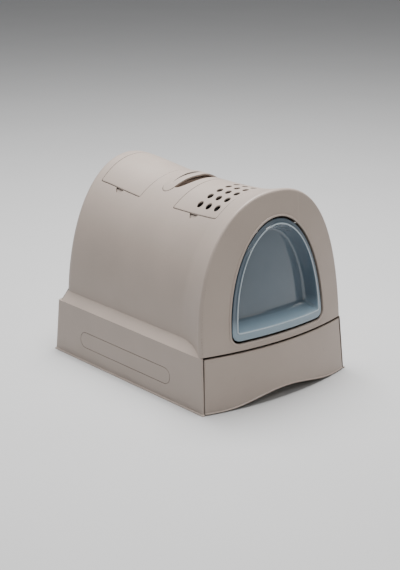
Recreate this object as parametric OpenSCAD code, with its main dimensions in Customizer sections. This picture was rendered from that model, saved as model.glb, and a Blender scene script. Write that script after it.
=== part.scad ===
// Hooded cat litter box: an arched hood with a swinging see-through door, a tray
// that pulls out of the front like a drawer, and two hinged hatches in the roof.
// +Z is up, the door and the drawer face -Y, and the origin is on the floor
// under the middle of the box.

/* [Overall] */
// Length of the box at the floor, front to rear
body_l = 560; // [550:1:570]
// Top of the arch above the floor, at the front
arch_h = 428; // [424:1:431]
// Half of the width of the skirt at the floor, without its lip
skirt_half = 200.5; // [199:0.5:202]
// Thickness of the moulded walls
wall = 3; // [2.6:0.1:3.4]
// Gap between the hood and the parts set into it
seam = 1; // [0.8:0.1:1.2]

/* [Skirt and drawer] */
// Height of the skirt, up to the edge over the drawer
skirt_h = 116; // [115:1:118]
// How much each side of the skirt leans in over its height
skirt_draft = 5.2; // [4.8:0.1:5.6]
// Height of the finger arch under the drawer front
finger_h = 20; // [15:1:22]
// Half of the width of the finger arch
finger_half = 165; // [150:5:170]
// Depth of the litter tray
tray_h = 92; // [88:1:93]

/* [Tunnel] */
// Half of the width of the tunnel behind the front face
tunnel_half = 174.5; // [173:0.5:176]
// Lowest height of the roof line
saddle_h = 410; // [408:0.5:412]
// Highest point of the roof line near the rear
rear_h = 422.5; // [420:0.5:424]

/* [Door] */
// Half of the width of the door opening
door_half = 128; // [126:1:129]
// Height of the sill under the door
sill_h = 133; // [131:1:135]
// Height of the top of the door opening
door_top = 373; // [371:1:374]
// Depth of the panel behind the face of the door
dish_depth = 30; // [27:1:31]

/* [Hatches] */
// Half of the width of both roof hatches
hatch_half = 96; // [94:0.5:97]
// Diameter of the vent holes
vent_d = 13.5; // [10:0.5:15]
// Distance between neighbouring vent holes across the roof
vent_pitch = 22.3; // [21:0.1:23]

/* [Hidden] */
$fn = 48;

greige = "#b3a89d";
pale = "#d8d8d4";

// Plan and profile of the hood.
front_lean = 0.1;
rear_lean = 0.08;
bulge = 28.7;
bulge_half = 195;
shoulder_half = skirt_half - skirt_draft;
shoulder_slope = 1.115;
flare_l = 79;
flare_w = 22;
flare_h = 6;
flare_max = shoulder_half - 0.2 - tunnel_half;
foot_flare = 25;
foot_power = 2.4;
base_blend = 0.45;
inner_step = 0.012;
tunnel_l = 500;
tunnel_power = 0.98;
front_power = [0.88, 0.82];
rear_round = 19;
rear_drop = 6;
front_round = 4;
roof_ref = 400;
lean_fade = 0.12;
lip_w = 2.5;
lip_h = 2.5;
foot_w = 2;
foot_h = 3;

// Way for the drawer through the front, and the gaps around the drawer front.
way_side = 3.2;
way_top = skirt_h + 2.4;
way_end = -234;
drawer_top = skirt_h - 2;
drawer_gap = [1.6, 3.4];
drawer_t = 4;
post_x = 120;
post_z = 62;
post_l = 26.5;
post_r = 7;

// Each hatch: its front edge and rear edge at the middle, how far its straight hinge is
// lifted to suit the curved roof, and how much each edge follows the bow of the front.
filter_y = [-176.7, -46.5, -0.4, 1.05, 1.45];
storage_y = [65, 205.5, 0, 1.3, 0];
vent_rows = [-162.8, -137.1, -111.4];
vent_curve = 2.4;
hatch_t = 3;
hatch_gap = 0.8;
corner_r = 2.5;
pan_t = 3;
ledge_w = 8;
hinge_r = 2.5;
hinge_pin_r = 1.5;
hinge_x = hatch_half + 3;
hinge_gap = 3.2;
basket_half = 88;
basket_t = 2.5;
cradle_z = 354;
bin_z = 326;

// Carry handle and the bowl under it.
handle_y = [-8, 36];
handle_half = 73;
handle_rise = 4.6;
handle_t = 4.2;
bowl_at = [0, 6, 404];
bowl_r = [61, 31, 44];

// Door hinge.
pivot_z = 350;
pivot_y = -239.4;
pivot_r = 1.3;
bushing_r = 1.9;
bushing_x = 60;
bushing_l = 7;
lug_x = 40;
lug_l = 8;
running_gap = 0.06;
collar_depth = 4.5;

// Rings of the door from its edge inwards: inset and depth of the front surface, inset
// and depth of the back surface, and how much higher the ring sits at the sill.
door_rings = [
    [2, 1.5, 2, 4.5, 0],
    [3, 0.6, 3, 4.5, 0],
    [9.5, 0.6, 9.5, 4, 5],
    [12, -2.2, 11.5, 3, 6.5],
    [14.5, -2.2, 13, 3, 6.5],
    [17, 1, 14.8, 5, 6.5],
    [25, dish_depth - 2, 22.8, dish_depth + 0.5, 8.5],
    [29, dish_depth, 29, dish_depth + 2, 8.5]
];

// Rails, tray and side inlays.
runner_z = 88;
runner_t = 3;
rail_x = half_at(runner_z + runner_t) - wall - 0.35;
tray_y = [-236, 236];
tray_half = 181;
tray_z = 5;
tray_t = 2.5;
pill_y = [-144, 158];
pill_z = 49.5;
pill_r = 16.75;

// Plan shape: the front leans back and bulges, and the rear mirrors it.
function bow(x) = bulge * pow(x / bulge_half, 2);
function front_y(x, z) = -body_l / 2 + front_lean * z + bow(x);
function rear_y(x, z) = body_l / 2 - rear_lean * z - bow(x);
function half_at(z) = skirt_half - skirt_draft * z / skirt_h;

// Place on the length at share s, with the lean only near the two ends.
function fade(s) = max(0, 1 - s / lean_fade);
function along_y(x, z, s) =
    front_y(x, roof_ref) * (1 - s) + rear_y(x, roof_ref) * s
    + front_lean * (z - roof_ref) * fade(s) - rear_lean * (z - roof_ref) * fade(1 - s);
function share(x, y) =
    (y - front_y(x, roof_ref)) / (rear_y(x, roof_ref) - front_y(x, roof_ref));

// Roof line and tunnel section, with a flare towards the front face.
function smooth(u) = u * u * (3 - 2 * u);
function ease(a, b, u) = a + (b - a) * smooth(max(0, min(1, u)));
function flare(s) = max(0, 1 - s * tunnel_l / flare_l);
function ridge(s) =
    s < 0.5 ? saddle_h + (arch_h - flare_h - saddle_h) * pow(1 - s / 0.5, 2.7)
    : s < 0.955 ? ease(saddle_h, rear_h, (s - 0.59) / 0.365)
    : rear_h - rear_drop * pow((s - 0.955) / 0.045, 2);
function apex(s) = ridge(s) + flare_h * pow(flare(s), 1.5);
function half_w(s) = tunnel_half + min(flare_max, flare_w * pow(flare(s), 1.5));
function power(s, k) = tunnel_power + (front_power[k] - tunnel_power) * pow(flare(s), 2);
function base_w(s) = tunnel_half + min(flare_max, foot_flare * pow(flare(s), foot_power));
function foot_z(s) = skirt_h + (shoulder_half - base_w(s)) / shoulder_slope;
function section(x, s, off) =
    let (a = half_w(s) - off, u = min(1, abs(x) / a))
    foot_z(s) - off
    + (apex(s) - foot_z(s)) * pow(1 - pow(u, 2 / power(s, 0)), power(s, 1) / 2);
function roof_z(x, y, off) = section(x, share(x, y), off);

// Height of the drawer front's lower edge.
function finger_z(x) =
    abs(x) < finger_half ? 1 + finger_h * pow(cos(90 * x / finger_half), 2) : 1;

// Solid between two grids of points, rows along +Y and columns along +X.
module grid_solid(rows, cols, top, bottom) {
    n = rows + 1;
    m = cols + 1;
    all = n * m;
    function t(i, j) = i * m + j;
    function b(i, j) = all + i * m + j;
    points = concat(
        [for (i = [0:rows]) for (j = [0:cols]) top(i, j)],
        [for (i = [0:rows]) for (j = [0:cols]) bottom(i, j)]);
    faces = concat(
        [for (i = [0:rows - 1]) for (j = [0:cols - 1]) each [
            [t(i, j), t(i + 1, j), t(i + 1, j + 1)],
            [t(i, j), t(i + 1, j + 1), t(i, j + 1)],
            [b(i, j), b(i + 1, j + 1), b(i + 1, j)],
            [b(i, j), b(i, j + 1), b(i + 1, j + 1)]]],
        [for (j = [0:cols - 1]) each [
            [t(0, j), t(0, j + 1), b(0, j + 1)],
            [t(0, j), b(0, j + 1), b(0, j)],
            [t(rows, j + 1), t(rows, j), b(rows, j)],
            [t(rows, j + 1), b(rows, j), b(rows, j + 1)]]],
        [for (i = [0:rows - 1]) each [
            [t(i + 1, 0), t(i, 0), b(i, 0)],
            [t(i + 1, 0), b(i, 0), b(i + 1, 0)],
            [t(i, cols), t(i + 1, cols), b(i + 1, cols)],
            [t(i, cols), b(i + 1, cols), b(i, cols)]]]);
    polyhedron(points = points, faces = faces, convexity = 6);
}

// The tunnel with its shoulders, grown inwards by off, down to the height low. The inner
// one takes its section from a little further back, which keeps the flared wall thick.
module tunnel_block(off, low) {
    shares = off > 0
        ? [0, 0.01, 0.022, 0.038, 0.056, 0.09, 0.15, 0.26, 0.4, 0.55, 0.7, 0.83, 0.9, 0.95, 1]
        : [0, 0.003, 0.01, 0.022, 0.038, 0.056, 0.08, 0.11, 0.15, 0.26, 0.35, 0.45, 0.55, 0.63,
            0.71, 0.79, 0.87, 0.93, 1 - rear_round / tunnel_l, 0.978, 0.991, 1];
    function round_off(r, d) = d > r ? 0 : r - sqrt(r * r - (r - d) * (r - d));
    rounds = [for (s = shares) off > 0 ? 0
        : round_off(front_round, s * tunnel_l) + round_off(rear_round, (1 - s) * tunnel_l)];
    steps = off > 0 ? 24 : 32;
    last = len(shares) - 1;
    function at_share(i) = min(1, shares[i] + (off > 0 ? inner_step : 0));
    function rise(j) = max(0, sin(180 * (j - 1) / steps));
    function span(i, j) =
        let (s = at_share(i)) ease(base_w(s), half_w(s), rise(j) / base_blend) - off - rounds[i];
    function col_x(i, j) =
        j == 0 ? -shoulder_half + off + rounds[i]
        : j == steps + 2 ? shoulder_half - off - rounds[i]
        : -span(i, j) * sign(cos(180 * (j - 1) / steps))
            * pow(abs(cos(180 * (j - 1) / steps)), power(at_share(i), 0));
    function top_z(i, j) =
        let (s = at_share(i))
        j == 0 || j == steps + 2 ? skirt_h - off
        : foot_z(s) - off + (apex(s) - foot_z(s) - rounds[i]) * pow(rise(j), power(s, 1));
    function shift(i) = i == 0 ? off : i == last ? -off : 0;
    function at(i, j, z) =
        let (x = col_x(i, j)) [x, along_y(x, z, shares[i]) + shift(i), z];
    grid_solid(last, steps + 2,
        function (i, j) at(i, j, top_z(i, j)),
        function (i, j) at(i, j, low));
}

// The skirt as a block: straight sides that lean in, and bowed ends.
module skirt_block(off, low, high, end_off) {
    cols = 20;
    function at(i, j, z) =
        let (x = (half_at(z) - off) * (2 * j / cols - 1))
        [x, i == 0 ? front_y(x, z) + end_off : rear_y(x, z) - end_off, z];
    grid_solid(1, cols,
        function (i, j) at(i, j, high),
        function (i, j) at(i, j, low));
}

// A piece of shell that follows the roof over a rectangle. Its front and rear edges may
// follow the bow of the front.
module roof_patch(xs, ys, top_off, bottom_off, curve = [0, 0]) {
    rows = 4;
    cols = 12;
    function at(i, j, off) =
        let (x = xs[0] + (xs[1] - xs[0]) * j / cols, t = i / rows,
            y = (1 - t) * (ys[0] + curve[0] * bow(x)) + t * (ys[1] + curve[1] * bow(x)))
        [x, y, roof_z(x, y, 0) - off];
    grid_solid(rows, cols,
        function (i, j) at(i, j, top_off),
        function (i, j) at(i, j, bottom_off));
}

// Pill-shaped prism along Z, from x0 to x1 at its two ends.
module pill(x0, x1, r, h) {
    hull() {
        translate([x0 + r, 0, 0]) cylinder(r = r, h = h);
        translate([x1 - r, 0, 0]) cylinder(r = r, h = h);
    }
}

// Outline of the door opening, in X and Z, moved inwards by off, and by more at the sill.
function door_outline(off, extra = 0, steps = 40, r = 20) =
    let (a = door_half - off, zb = sill_h + off + extra, q = max(4, r - off), zc = zb + q,
        b = door_top - off - zc)
    concat(
        [for (k = [0:5]) [a - q + q * sin(18 * k), zc - q * cos(18 * k)]],
        [for (k = [1:steps - 1]) [a * cos(180 * k / steps), zc + b * sin(180 * k / steps)]],
        [for (k = [5:-1:0]) [-a + q - q * sin(18 * k), zc - q * cos(18 * k)]]);

module door_prism(off, y0, y1) {
    translate([0, y1, 0]) rotate([90, 0, 0]) linear_extrude(height = y1 - y0)
        polygon(door_outline(off));
}

// Slab behind the front face around the door, between two depths.
module face_slab(depth0, depth1) {
    half = door_half + 2 * wall;
    function at(i, j, z) =
        let (x = half * (j / 8 - 1)) [x, front_y(x, z) + (i == 0 ? depth0 : depth1), z];
    grid_solid(1, 16, function (i, j) at(i, j, door_top + 2 * wall),
        function (i, j) at(i, j, sill_h - 2 * wall));
}

// Line of a hatch hinge, as its two end points.
function hinge_line(span) =
    let (drop = hinge_r * 1.35 - span[2])
    [for (k = [0, 1])
        let (y = span[k] + span[k + 3] * bow(hinge_x))
        [hinge_x, y, roof_z(hinge_x, y, 0) - drop]];

module hinge_rod(span, r, grow) {
    line = hinge_line(span);
    run = line[1] - line[0];
    slope = atan2(run[2], run[1]);
    translate(line[0]) rotate([slope - 90, 0, 0])
        translate([0, 0, -grow]) cylinder(r = r, h = norm(run) + 2 * grow);
}

// Bowl under the handle.
module hand_bowl(grow) {
    translate(bowl_at)
        scale([bowl_r[0] + grow, bowl_r[1] + grow, bowl_r[2] + grow]) sphere(r = 1, $fn = 24);
}

// Shell over one hatch with rounded corners at its free edge, up to x1.
module hatch_form(span, grow, x1, top_off, bottom_off) {
    x0 = -hatch_half - grow;
    y0 = span[0] - grow;
    y1 = span[1] + grow;
    base_z = 320;
    tall = 130;
    spread = 30;
    intersection() {
        roof_patch([x0, x1], [y0, y1], top_off, bottom_off, [span[3], span[4]]);
        hull() {
            for (y = [y0 + span[3] * bow(x0) + corner_r, y1 + span[4] * bow(x0) - corner_r])
                translate([x0 + corner_r, y, base_z]) cylinder(r = corner_r, h = tall, $fn = 24);
            translate([x1, y0 - spread, base_z]) cube([1, y1 - y0 + 2 * spread, tall]);
        }
    }
}

// Well in the roof for one hatch, and the hole inside its ledge.
module hatch_well(span) {
    hatch_form(span, seam, hinge_x + hinge_r + hinge_gap, -8, hatch_t + hatch_gap);
    hatch_form(span, -ledge_w, hatch_half - ledge_w, -8, 14);
    hinge_rod(span, hinge_r + 0.5, seam);
    hinge_rod(span, hinge_pin_r + 0.25, 6.3);
}

// Ring of material around the well.
module hatch_frame(span) {
    roof_patch([-hatch_half - wall - 1, hinge_x + 10], [span[0] - 10, span[1] + 10], 1,
        hatch_t + hatch_gap + pan_t, [span[3], span[4]]);
    hinge_rod(span, hinge_r + 3, 9);
}

// Pill shape in each side of the skirt, between two depths.
module side_pad(grow, depth0, depth1) {
    for (side = [-1, 1])
        scale([side, 1, 1])
            translate([half_at(pill_z), 0, pill_z])
                rotate([0, -atan(skirt_draft / skirt_h), 0])
                    translate([-depth1, 0, 0]) rotate([0, 90, 0]) rotate([0, 0, 90])
                        pill(pill_y[0] - grow, pill_y[1] + grow, pill_r + grow, depth1 - depth0);
}

// Way for the drawer through the front of the skirt.
module drawer_way() {
    low = half_at(0) - way_side;
    high = half_at(way_top) - way_side;
    translate([0, way_end, 0]) rotate([90, 0, 0]) linear_extrude(height = 66)
        polygon([[-low, -1], [low, -1], [high, way_top], [-high, way_top]]);
}

module hood_shell() {
    color(greige) difference() {
        union() {
            difference() {
                union() {
                    tunnel_block(0, 60);
                    skirt_block(0, 0, skirt_h, 0);
                    skirt_block(-lip_w, 0, lip_h, 0);
                }
                difference() {
                    union() {
                        tunnel_block(wall, -1);
                        skirt_block(wall, -1, skirt_h - wall, wall);
                    }
                    hatch_frame(filter_y);
                    hatch_frame(storage_y);
                    notch_pad(filter_y);
                    notch_pad(storage_y);
                    hand_bowl(wall);
                    handle_form(4, 2, handle_t + 0.4 + wall);
                    side_pad(4, 0, 5.5);
                    intersection() {
                        door_prism(-wall, -290, -220);
                        face_slab(-2, collar_depth);
                    }
                    for (side = [-1, 1])
                        translate([side * (bushing_x + 4), pivot_y - 1.25, pivot_z])
                            cube([9, 8.5, 9], center = true);
                }
                drawer_way();
            }
        }
        door_prism(0, -300, -220);
        hatch_well(filter_y);
        hatch_well(storage_y);
        hand_bowl(0);
        handle_form(seam, 12, handle_t + 0.4);
        handle_screw_places() translate([0, 0, -14]) cylinder(r = 1.8, h = 12);
        notch(filter_y);
        notch(storage_y);
        runner_screw_places_both() translate([0, 0, -4.8]) cylinder(r = 1.7, h = 4.8);
        side_pad(0.6, -1, 2.2);
        translate([-bushing_x - bushing_l, pivot_y, pivot_z]) rotate([0, 90, 0])
            cylinder(r = bushing_r, h = 2 * (bushing_x + bushing_l));
    }
}

// Pan-head screw along +Z, its head on top.
module screw(shank_l) {
    translate([0, 0, -shank_l]) cylinder(r = 1.6, h = shank_l);
    cylinder(r = 3.4, h = 2.2);
}

// Strap that bridges the bowl, flush with the roof at its two round ends.
module carry_handle() {
    color(greige) difference() {
        handle_form(0, 0, handle_t);
        handle_screw_places() translate([0, 0, -8]) cylinder(r = 1.65, h = 6.8);
    }
}
module handle_form(grow, above, below) {
    half_w = (handle_y[1] - handle_y[0]) / 2;
    intersection() {
        handle_sheet(above, below);
        translate([0, (handle_y[0] + handle_y[1]) / 2, 340])
            pill(-handle_half - grow, handle_half + grow, half_w + grow, 110);
    }
}
module handle_sheet(above, below) {
    cols = 24;
    half = handle_half + 5;
    width = handle_y[1] - handle_y[0] + 12;
    function at(i, j, lift) =
        let (x = half * (2 * j / cols - 1), y = handle_y[0] - 6 + width * i / 3)
        [x, y, roof_z(x, y, 0) + handle_rise * (1 - pow(abs(x) / half, 2)) + lift];
    grid_solid(3, cols,
        function (i, j) at(i, j, above),
        function (i, j) at(i, j, -below));
}
module handle_screw_places() {
    x = 66;
    y = (handle_y[0] + handle_y[1]) / 2;
    for (side = [-1, 1]) scale([side, 1, 1])
        translate([x, y, roof_z(x, y, 0)]) rotate([0, 28, 0]) children();
}
module handle_screws() {
    color("silver") handle_screw_places()
        translate([0, 0, -handle_t - wall - 1]) rotate([180, 0, 0]) screw(6);
}

// Pill-shaped plate set into each side of the skirt.
module side_inlay(side) {
    color(greige) intersection() {
        side_pad(0, 0, 1.9);
        translate([side * body_l / 2, 0, 0]) cube(body_l, center = true);
    }
}
module side_inlay_left() { side_inlay(-1); }
module side_inlay_right() { side_inlay(1); }

// Rails that carry the rim of the tray.
module runner(side) {
    rail_l = 440;
    color(greige) scale([side, 1, 1]) difference() {
        union() {
            translate([rail_x - 7, tray_y[0] + 8, runner_z]) cube([7, rail_l, runner_t]);
            translate([rail_x - 1.8, tray_y[0] + 8, runner_z - 16]) cube([1.8, rail_l, 16]);
        }
        runner_screw_places() cylinder(r = 1.8, h = 12, center = true);
    }
}
module runner_screw_places() {
    for (y = [-180, 0, 180])
        translate([rail_x - 1.8, y, runner_z - 8]) rotate([0, -90, 0]) children();
}
module runner_screw_places_both() {
    for (side = [-1, 1]) scale([side, 1, 1]) runner_screw_places() children();
}
module runner_left() { runner(-1); }
module runner_right() { runner(1); }
module runner_screws() {
    color("silver") runner_screw_places_both() screw(4.4);
}

// Basket that hangs under a hatch.
module basket(span, z) {
    front = span[0] + 5;
    rear = span[1] - 8;
    difference() {
        intersection() {
            translate([-basket_half, front, z]) cube([2 * basket_half, rear - front, 80]);
            roof_patch([-basket_half - 4, basket_half + 4], [front - 3, rear + 3],
                hatch_t + pan_t + 2 * hatch_gap, 110);
        }
        translate([-basket_half + basket_t, front + basket_t, z + basket_t])
            cube([2 * (basket_half - basket_t), rear - front - 2 * basket_t, 90]);
    }
}

// Cradle with a slotted floor under the vented hatch, and the pad in it.
module filter_cradle() {
    color(greige) difference() {
        basket(filter_y, cradle_z);
        for (x = [-72:12:72]) translate([x - 3, filter_y[0] + 20, cradle_z - 1])
            cube([6, filter_y[1] - filter_y[0] - 46, 6]);
    }
}
module carbon_filter() {
    color("#2b2b2b") translate([-80, filter_y[0] + 9, cradle_z + basket_t + 0.3])
        cube([160, filter_y[1] - filter_y[0] - 21, 8]);
}

// Bin under the rear hatch, and the scoop kept in it.
module storage_bin() {
    color(greige) basket(storage_y, bin_z);
}
module litter_scoop() {
    color("#7d8b96") translate([0, storage_y[0] + 20, bin_z + basket_t + 0.5]) {
        difference() {
            translate([-70, 8, 0]) cube([72, 78, 22]);
            translate([-68, 6, 2]) cube([68, 78, 22]);
            for (x = [-62:9:-8]) translate([x, 16, -1]) cube([4, 56, 4]);
        }
        translate([1, 47, 8]) rotate([0, 90, 0]) cylinder(r = 7, h = 66);
    }
}

// Bearings in the hood for the door's pins.
module door_bushings() {
    color(pale) for (side = [-1, 1])
        scale([side, 1, 1]) translate([bushing_x, pivot_y, pivot_z]) rotate([0, 90, 0])
            difference() {
                cylinder(r = bushing_r - 0.02, h = bushing_l);
                translate([0, 0, -1]) cylinder(r = pivot_r + running_gap, h = bushing_l);
            }
}

// Tray that slides in under the hood, hanging from its rim.
module litter_tray() {
    rim_half = rail_x - 3;
    color(greige) difference() {
        union() {
            tray_form(0, tray_z, tray_z + tray_h);
            translate([-rim_half, tray_y[0] + 6, runner_z + runner_t + 0.4])
                cube([2 * rim_half, tray_y[1] - tray_y[0] - 12, 3]);
        }
        tray_form(tray_t, tray_z + tray_t, tray_z + tray_h + 1);
        drawer_screw_places() cylinder(r = 1.8, h = 20, center = true);
    }
}
module tray_form(off, z0, z1) {
    r = 14;
    hull() for (x = [-1, 1], y = [0, 1]) {
        translate([x * (tray_half - 10 - r), tray_y[y] + (y == 0 ? 24 : -24), z0])
            cylinder(r = r - off, h = 0.1, $fn = 32);
        translate([x * (tray_half - r), tray_y[y] + (y == 0 ? 14 : -18), z1 - 0.1])
            cylinder(r = r - off, h = 0.1, $fn = 32);
    }
}

// Front of the drawer: follows the bowed face, with a finger arch and a small foot below.
function front_half(z) =
    half_at(z) - way_side - drawer_gap[0] - (drawer_gap[1] - drawer_gap[0]) * z / skirt_h;
function front_at(u, z, depth) =
    let (x = front_half(z) * u) [x, front_y(x, z) + depth, z];
module drawer_sheet() {
    cols = 40;
    foot = [[0, -foot_w], [foot_h - 0.5, -foot_w], [foot_h, 0]];
    last = len(foot);
    function low_z(j) = finger_z(front_half(0) * (2 * j / cols - 1));
    function level(i, j) = i == last ? drawer_top : low_z(j) + foot[i][0];
    grid_solid(last, cols,
        function (i, j) front_at(2 * j / cols - 1, level(i, j), i == last ? 0 : foot[i][1]),
        function (i, j) front_at(2 * j / cols - 1, level(i, j), drawer_t));
}
module drawer_front() {
    color(greige) difference() {
        union() {
            drawer_sheet();
            drawer_screw_places() translate([0, 0, -3]) cylinder(r = post_r, h = post_l);
        }
        drawer_screw_places() translate([0, 0, -4]) cylinder(r = 1.65, h = 14);
    }
}
module drawer_screw_places() {
    for (x = [-post_x, post_x]) translate([x, -236, post_z]) rotate([90, 0, 0]) children();
}
module drawer_front_screws() {
    color("silver") for (x = [-post_x, post_x])
        translate([x, -228.6, post_z]) rotate([-90, 0, 0]) screw(12);
}

// Door: a rim at the face, a raised ridge and a panel set back behind it.
module door_panel() {
    color([0.48, 0.56, 0.63, 0.6]) union() {
        door_skin();
        for (side = [-1, 1]) scale([side, 1, 1]) door_lug();
    }
}
module door_lug() {
    hull() {
        translate([lug_x, pivot_y, pivot_z]) rotate([0, 90, 0])
            cylinder(r = 2.6, h = lug_l, $fn = 32);
        translate([lug_x, pivot_y - 1, pivot_z - 8]) cube([lug_l, 1.5, 10]);
    }
}
module door_skin() {
    n = len(door_outline(0));
    rings = len(door_rings);
    function ring(k, back) =
        let (r = door_rings[k])
        [for (p = door_outline(r[2 * back], r[4]))
            [p[0], front_y(p[0], p[1]) + r[2 * back + 1], p[1]]];
    points = concat(
        [for (k = [0:rings - 1]) each ring(k, 0)],
        [for (k = [0:rings - 1]) each ring(k, 1)]);
    base = rings * n;
    function id(k, i) = k * n + i % n;
    faces = concat(
        [for (k = [0:rings - 2]) for (i = [0:n - 1]) each [
            [id(k, i), id(k + 1, i + 1), id(k, i + 1)],
            [id(k, i), id(k + 1, i), id(k + 1, i + 1)],
            [base + id(k, i), base + id(k, i + 1), base + id(k + 1, i + 1)],
            [base + id(k, i), base + id(k + 1, i + 1), base + id(k + 1, i)]]],
        [for (i = [0:n - 1]) each [
            [id(0, i), id(0, i + 1), base + id(0, i + 1)],
            [id(0, i), base + id(0, i + 1), base + id(0, i)]]],
        [[for (i = [0:n - 1]) id(rings - 1, n - 1 - i)],
         [for (i = [0:n - 1]) base + id(rings - 1, i)]]);
    polyhedron(points = points, faces = faces, convexity = 8);
}
module door_pivot_pins() {
    color(pale) for (side = [-1, 1])
        scale([side, 1, 1]) translate([lug_x + 4, pivot_y, pivot_z]) rotate([0, 90, 0])
            cylinder(r = pivot_r, h = bushing_x + bushing_l - lug_x - 5.5);
}

// Roof hatches with a rolled hinge edge.
module hatch(span) {
    union() {
        hatch_form(span, 0, hinge_x, 0, hatch_t);
        hinge_rod(span, hinge_r, 0);
    }
}

// Finger notch in the roof beside the free edge of a hatch, and its pad below.
function notch_y(span) =
    (span[0] + span[1] + (span[3] + span[4]) * bow(hatch_half)) / 2;
module notch(span) {
    y = notch_y(span);
    intersection() {
        roof_patch([-hatch_half - 15, -hatch_half + ledge_w], [y - 19, y + 19], -2, 7);
        translate([-hatch_half, y, 320])
            linear_extrude(height = 80) polygon([[2, -17], [-11, -2], [-11, 2], [2, 17]]);
    }
}
module notch_pad(span) {
    y = notch_y(span);
    roof_patch([-hatch_half - 18, -hatch_half], [y - 22, y + 22], 1, 10);
}

module filter_hatch() {
    columns = 8;
    color(greige) difference() {
        hatch(filter_y);
        for (y = vent_rows, k = [0:columns - 1])
            let (x = (k - (columns - 1) / 2) * vent_pitch)
                translate([x, y + vent_curve * bow(x), 330])
                    cylinder(d = vent_d, h = 90, $fn = 24);
    }
}
module filter_hatch_pins() { hatch_pins(filter_y); }
module storage_hatch() {
    color(greige) hatch(storage_y);
}
module storage_hatch_pins() { hatch_pins(storage_y); }
module hatch_pins(span) {
    color("silver") difference() {
        hinge_rod(span, hinge_pin_r, 5.5);
        hinge_rod(span, hinge_r + 1, 0.15);
    }
}

hood_shell();
carry_handle();
handle_screws();
side_inlay_left();
side_inlay_right();
runner_left();
runner_right();
runner_screws();
filter_cradle();
carbon_filter();
storage_bin();
litter_scoop();
door_bushings();
litter_tray();
drawer_front();
drawer_front_screws();
door_panel();
door_pivot_pins();
filter_hatch();
filter_hatch_pins();
storage_hatch();
storage_hatch_pins();
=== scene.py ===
"""Looks of the hooded cat litter box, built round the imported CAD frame.

Shapes are worked out in millimetres with the same formulas as the CAD source, and
turned into metres when a mesh is made.
"""

import math

import bmesh
import bpy
import numpy as np
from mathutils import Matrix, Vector


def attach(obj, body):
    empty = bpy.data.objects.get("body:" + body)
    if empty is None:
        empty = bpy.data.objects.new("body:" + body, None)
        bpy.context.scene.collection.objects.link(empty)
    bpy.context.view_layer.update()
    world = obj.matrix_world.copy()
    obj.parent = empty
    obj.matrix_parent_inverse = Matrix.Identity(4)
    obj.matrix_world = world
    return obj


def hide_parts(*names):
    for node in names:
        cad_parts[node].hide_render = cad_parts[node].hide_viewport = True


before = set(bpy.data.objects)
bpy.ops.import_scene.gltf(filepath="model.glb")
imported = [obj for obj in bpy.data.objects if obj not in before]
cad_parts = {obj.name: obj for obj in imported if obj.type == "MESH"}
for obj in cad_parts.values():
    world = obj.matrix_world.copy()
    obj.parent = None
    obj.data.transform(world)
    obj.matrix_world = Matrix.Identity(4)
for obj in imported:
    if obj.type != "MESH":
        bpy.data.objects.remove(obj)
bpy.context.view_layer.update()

MM = 0.001

# ---------------------------------------------------------------- driving sizes, mm
BODY_L = 560
SKIRT_HALF = 200.5
SKIRT_H = 116
SKIRT_DRAFT = 5.2
WALL = 3
SEAM = 1
LIP = 2.5
TUNNEL_HALF = 174.5
SADDLE_H = 410
FRONT_RISE = 12
REAR_RISE = 12.5
REAR_DROP = 6
FRONT_LEAN = 0.1
REAR_LEAN = 0.08
BULGE = 28.7
BULGE_HALF = 195
FLARE_L = 79
FLARE_W = 22
FLARE_H = 6
TUNNEL_L = 500
TUNNEL_POWER = 0.98
FRONT_POWER_X = 0.88
FRONT_POWER_Z = 0.82
ROOF_REF = 400
LEAN_FADE = 0.12
SHOULDER_HALF = SKIRT_HALF - SKIRT_DRAFT
SHOULDER_SLOPE = 1.115
FLARE_MAX = SHOULDER_HALF - 0.2 - TUNNEL_HALF
FOOT_FLARE = 25
FOOT_POWER = 2.4
BASE_BLEND = 0.45
INNER_STEP = 0.012
FRONT_ROUND = 7
REAR_ROUND = 19

BEAD_R = 2.28
BEAD_RISE = 2.2
BEAD_PATH = 2.3

DOOR_HALF = 128
SILL_H = 133
DOOR_TOP = 373
DOOR_CORNER = 20
DISH_DEPTH = 30
PIVOT = (-239.4, 350)
BUSHING_END = 67
BUSHING_R = 1.9

HATCH_HALF = 96
HATCH_T = 3
HATCH_GAP = 0.8
HATCH_CORNER = 2.5
LEDGE_W = 8
HINGE_X = HATCH_HALF + 3
HINGE_R = 2.5
HINGE_GAP = 3.2
# Each hatch: front and rear edge, lift of its hinge, and how much each edge is bowed.
FILTER = (-176.7, -46.5, -0.4, 1.05, 1.45)
STORAGE = (65, 205.5, 0, 1.3, 0)
NOTCH_OUT = 8
NOTCH_HALF = 16
NOTCH_TIP = 6
VENT_D = 13.5
VENT_COLUMNS = 8
VENT_PITCH = 22.3
VENT_ROWS = (-162.8, -137.1, -111.4)
VENT_CURVE = 2.4

HANDLE_Y = (-8, 36)
HANDLE_HALF = 73
HANDLE_RISE = 4.6
HANDLE_T = 4.2
HANDLE_END_R = 16
BOWL_AT = (0, 4, 404)
BOWL_R = (61, 29, 44)

PILL_Y = (-144, 158)
PILL_Z = 49.5
PILL_R = 16.75

WAY_SIDE = 3.2
WAY_TOP = SKIRT_H + 2.4
DRAWER_TOP = SKIRT_H - 2
DRAWER_GAP = (1.6, 3.4)
DRAWER_T = 4
FINGER_H = 20
FINGER_HALF = 165

# ---------------------------------------------------------------- camera and light
VIEW_AZIMUTH = -40.8
VIEW_ELEVATION = 18.5
VIEW_DISTANCE = 3.1451
VIEW_TARGET = (0.0075, 0.0, 0.1663)
VIEW_LENS = 92.05


def direction(azimuth, elevation):
    """Unit vector from the object towards a viewer at these angles, in degrees."""
    a, e = math.radians(azimuth), math.radians(elevation)
    return Vector((math.sin(a) * math.cos(e), -math.cos(a) * math.cos(e), math.sin(e)))


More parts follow.
